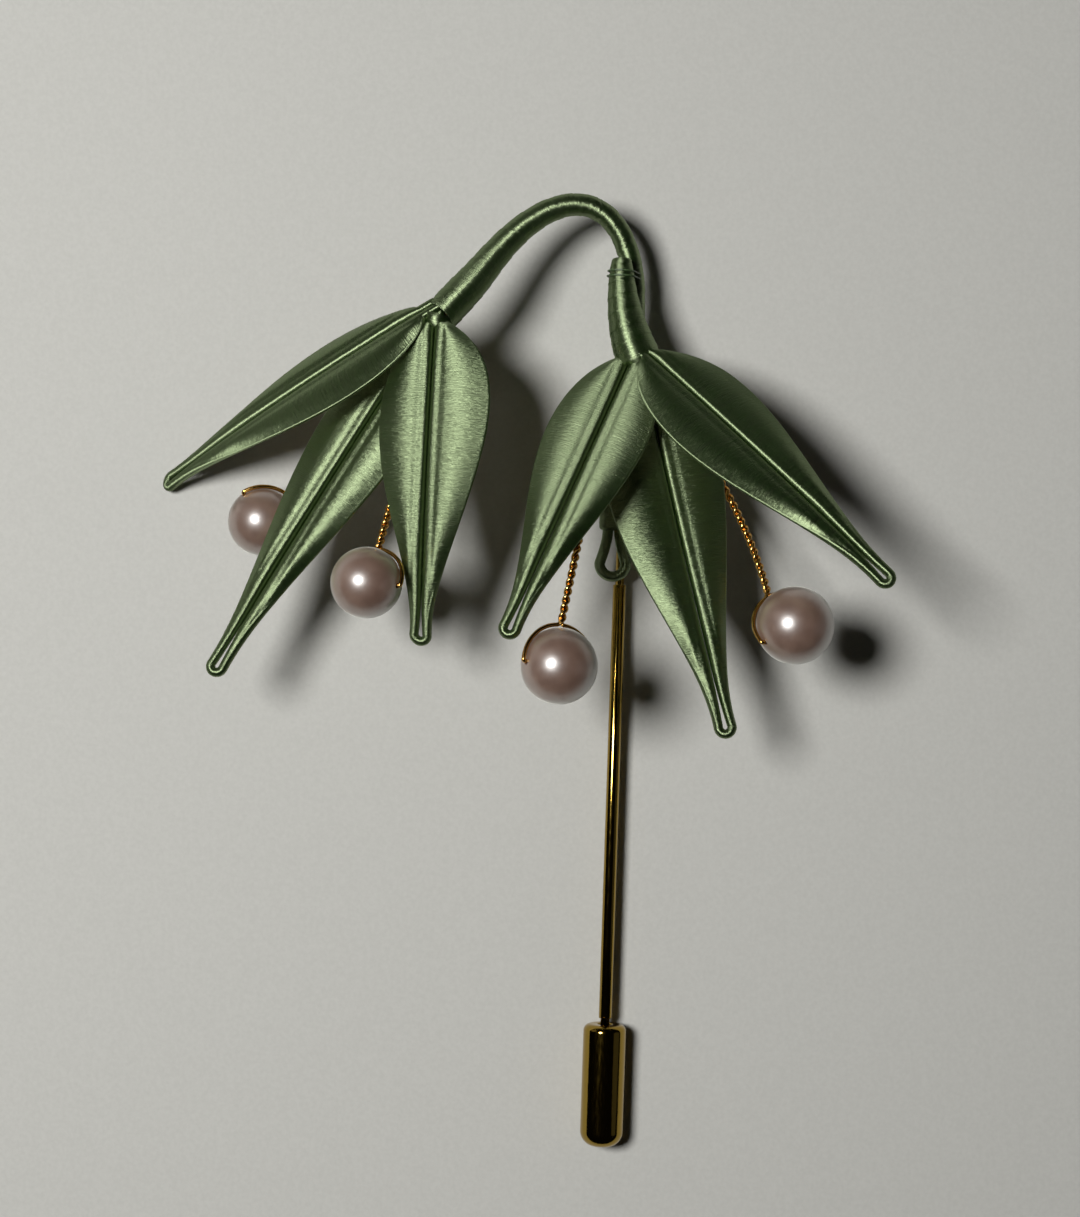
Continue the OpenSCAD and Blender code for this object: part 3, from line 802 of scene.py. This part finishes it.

# %% [markdown]
# ## Pearls
# A shell-core pearl is a polished bead under many thin pearl coats, so it has a soft body glow, a
# clear coat, and a faint change of tone over its shallow dents. Its surface is never quite even,
# which makes the lamp's reflection ragged. Each bead is turned about its drilled hole, so the hole
# is real.

# %% Pearl material
WAVES, GRAIN = 700.0, 5200.0  # noise cells per metre: dents of 1.4 mm and grain of 0.2 mm
pearl_coat, tree = new_material("coated_shell_pearl")
place = add(tree, "TexCoord").outputs["Object"]
waves = add(tree, "TexNoise", {"Vector": place, "Scale": WAVES, "Detail": 3.0})
grain = add(tree, "TexNoise", {"Vector": place, "Scale": GRAIN, "Detail": 2.0})
height = add(tree, "Math", {
    0: grain.outputs["Fac"], 1: 0.25, 2: waves.outputs["Fac"]}, operation="MULTIPLY_ADD")
bump = add(tree, "Bump", {"Height": height.outputs[0], "Strength": 0.22, "Distance": 0.00006})
shader = add(tree, "BsdfPrincipled", {
    "Base Color": ramp(tree, waves.outputs["Fac"], [(0.3, "#6d5448"), (0.7, "#7e6558")]),
    "Roughness": 0.42,
    "IOR": 1.8,
    "Subsurface Weight": 0.2,
    "Subsurface Radius": (0.0012, 0.0009, 0.0008),
    "Subsurface Scale": 1.0,
    "Sheen Weight": 0.6,
    "Sheen Roughness": 0.3,
    "Sheen Tint": linear("#eef0e8"),
    "Coat Weight": 1.0,
    "Coat Roughness": 0.31,
    "Coat IOR": 2.3,
    "Normal": bump.outputs["Normal"],
    "Coat Normal": bump.outputs["Normal"],
})
add(tree, "OutputMaterial", {"Surface": shader.outputs["BSDF"]})
print("pearl:", pearl_coat.name)

# %% Bead and wire sizes
BEAD_COLUMNS = 96
WIRE_R = 0.2 * MM  # of the single wire
WIRE_COLUMNS = 14
WIRE_STEP = 0.09 * MM
TWIST = 1.75 * MM  # length that one full twist of the pair takes
WIRE_CLEAR = 0.08 * MM  # from the bead to the wire that goes round it
STRANDS_CLEAR = 0.01 * MM  # half the gap between the two strands
print("twisted pair, mm:", round(4 * WIRE_R / MM, 2), "across")


# %% Bead and wire
def bead(name, centre, hole, size, bore):
    """A drilled ball: half a circle from one end of the hole to the other, then back through the
    hole as a straight line, all turned about the hole."""
    edge = np.arcsin(bore / size)  # rings lie close together here, so the hole's edge stays crisp
    a = np.concatenate([[edge, edge + 0.012], np.linspace(edge + 0.03, np.pi - edge - 0.03, 90),
                        [np.pi - edge - 0.012, np.pi - edge]])
    along = np.concatenate([size * np.cos(a), np.linspace(-0.98, 0.98, 12) * size * np.cos(edge)])
    away = np.concatenate([size * np.sin(a), np.full(12, bore)])
    side = unit(np.cross(hole, [0, 0, 1]))
    top = np.cross(hole, side)
    turn = full_turn(BEAD_COLUMNS)
    ring = np.cos(turn)[:, None] * side + np.sin(turn)[:, None] * top
    grid = centre + along[:, None, None] * hole + away[:, None, None] * ring[None]
    return skin(name, grid, joined=True)


def twisted_wire(name, node, centre, hole, size):
    """One wire: down a strand of the twisted pair, round the bead, through its hole, round the
    other side and back up as the second strand. The pair's middle line is measured from the
    solid, and each strand is a helix about it."""
    solid = points_of(node)
    away = np.linalg.norm(solid - centre, axis=1)
    bail = size + WIRE_CLEAR + WIRE_R
    pair = away > size + 0.9 * MM  # the solid's points beyond the part that goes round the bead
    share = (away - bail) / (away.max() - bail)
    line = fitted(share[pair], solid[pair], 3)
    s = np.linspace(0, 1, 400)
    turns = round(curve_length(line) / TWIST)
    side, top = square_axes(line, s)
    first = np.arctan2(hole @ top[0], hole @ side[0])
    turn = first + 2 * np.pi * turns * s
    offset = (WIRE_R + STRANDS_CLEAR) * (
        np.cos(turn)[:, None] * side + np.sin(turn)[:, None] * top)
    up = line(np.array(0.0)) - centre
    up = unit(up - hole * (up @ hole))
    arc = np.linspace(np.pi / 2 - 1.3 * WIRE_R / bail, 0.02, 50)
    bow = bail * (np.cos(arc)[:, None] * hole + np.sin(arc)[:, None] * up)
    other = bail * (-np.cos(arc[::-1])[:, None] * hole + np.sin(arc[::-1])[:, None] * up)
    path = np.vstack([(line(s) + offset)[::-1], centre + bow, centre + other, line(s) - offset])
    path, _ = evenly(path, WIRE_STEP)
    path, marks = evenly(softened(path, 5), WIRE_STEP)
    return along_path(name, path, marks, WIRE_R, WIRE_COLUMNS), turns


# %% Build the pearls
for joint in frame["joints"]:
    if joint["type"] != "hinge":
        continue
    pearl = joint["child"]
    centre, hole = np.array(joint["pos_m"]), unit(np.array(joint["axis"]))
    solid = points_of(pearl)
    away = solid - centre
    size = np.linalg.norm(away, axis=1).max()
    bore = np.linalg.norm(away - np.outer(away @ hole, hole), axis=1).min()
    finish_piece(bead(pearl + "_bead", centre, hole, size, bore), pearl, "pearl", pearl_coat, pearl)
    wire, turns = twisted_wire(pearl + "_wire_plated", pearl + "_wire", centre, hole, size)
    finish_piece(wire, "head", "pearl_wire", bright_wire, pearl + "_wire")
    print(pearl, "mm:", round(2 * size / MM, 2), "bore:", round(2 * bore / MM, 2), "twists:", turns)

# %% [markdown]
# ## Thread, card, inner wires and grip
# These solids already have their real shape, so they stay and only get their materials. The tie is
# a fine silk thread, a little paler than the floss, the card is cream pulp board, the inner wires
# are plain brass, and the grip is moulded rubber.


# %% Plain materials
def plain(name, dark, light, scale, roughness, metallic=0.0):
    """A material with a fine two-tone noise, for what is mostly hidden. scale is in noise cells
    per metre."""
    material, tree = new_material(name)
    place = add(tree, "TexCoord").outputs["Object"]
    noise = add(tree, "TexNoise", {"Vector": place, "Scale": scale, "Detail": 3.0})
    bump = add(tree, "Bump", {
        "Height": noise.outputs["Fac"], "Strength": 0.3, "Distance": 0.00003})
    shader = add(tree, "BsdfPrincipled", {
        "Base Color": ramp(tree, noise.outputs["Fac"], [(0.35, dark), (0.65, light)]),
        "Roughness": roughness,
        "Metallic": metallic,
        "Normal": bump.outputs["Normal"],
    })
    add(tree, "OutputMaterial", {"Surface": shader.outputs["BSDF"]})
    return material


inner = {
    "tie_thread": plain("twisted_silk_thread", "#2c3f22", "#4f683e", 9000.0, 0.45),
    "leaf_card": plain("pulp_card", "#cfc6af", "#e0d8c4", 3000.0, 0.9),
    "leaf_wire": plain("plain_brass_wire", "#a07d31", "#b8934a", 4000.0, 0.35, metallic=1.0),
    "clutch_grip": plain("moulded_black_rubber", "#262624", "#32322f", 5000.0, 0.7),
}
inner["stem_wire"] = inner["loop_wire"] = inner["leaf_wire"]
slots = {part["node"]: part["material_slot"] for part in record["subparts"]}
for node, slot in slots.items():
    if slot in inner:
        mesh = frame["nodes"][node].data
        mesh.materials.clear()
        mesh.materials.append(inner[slot])
print("solids that keep their shape:", sum(slot in inner for slot in slots.values()))
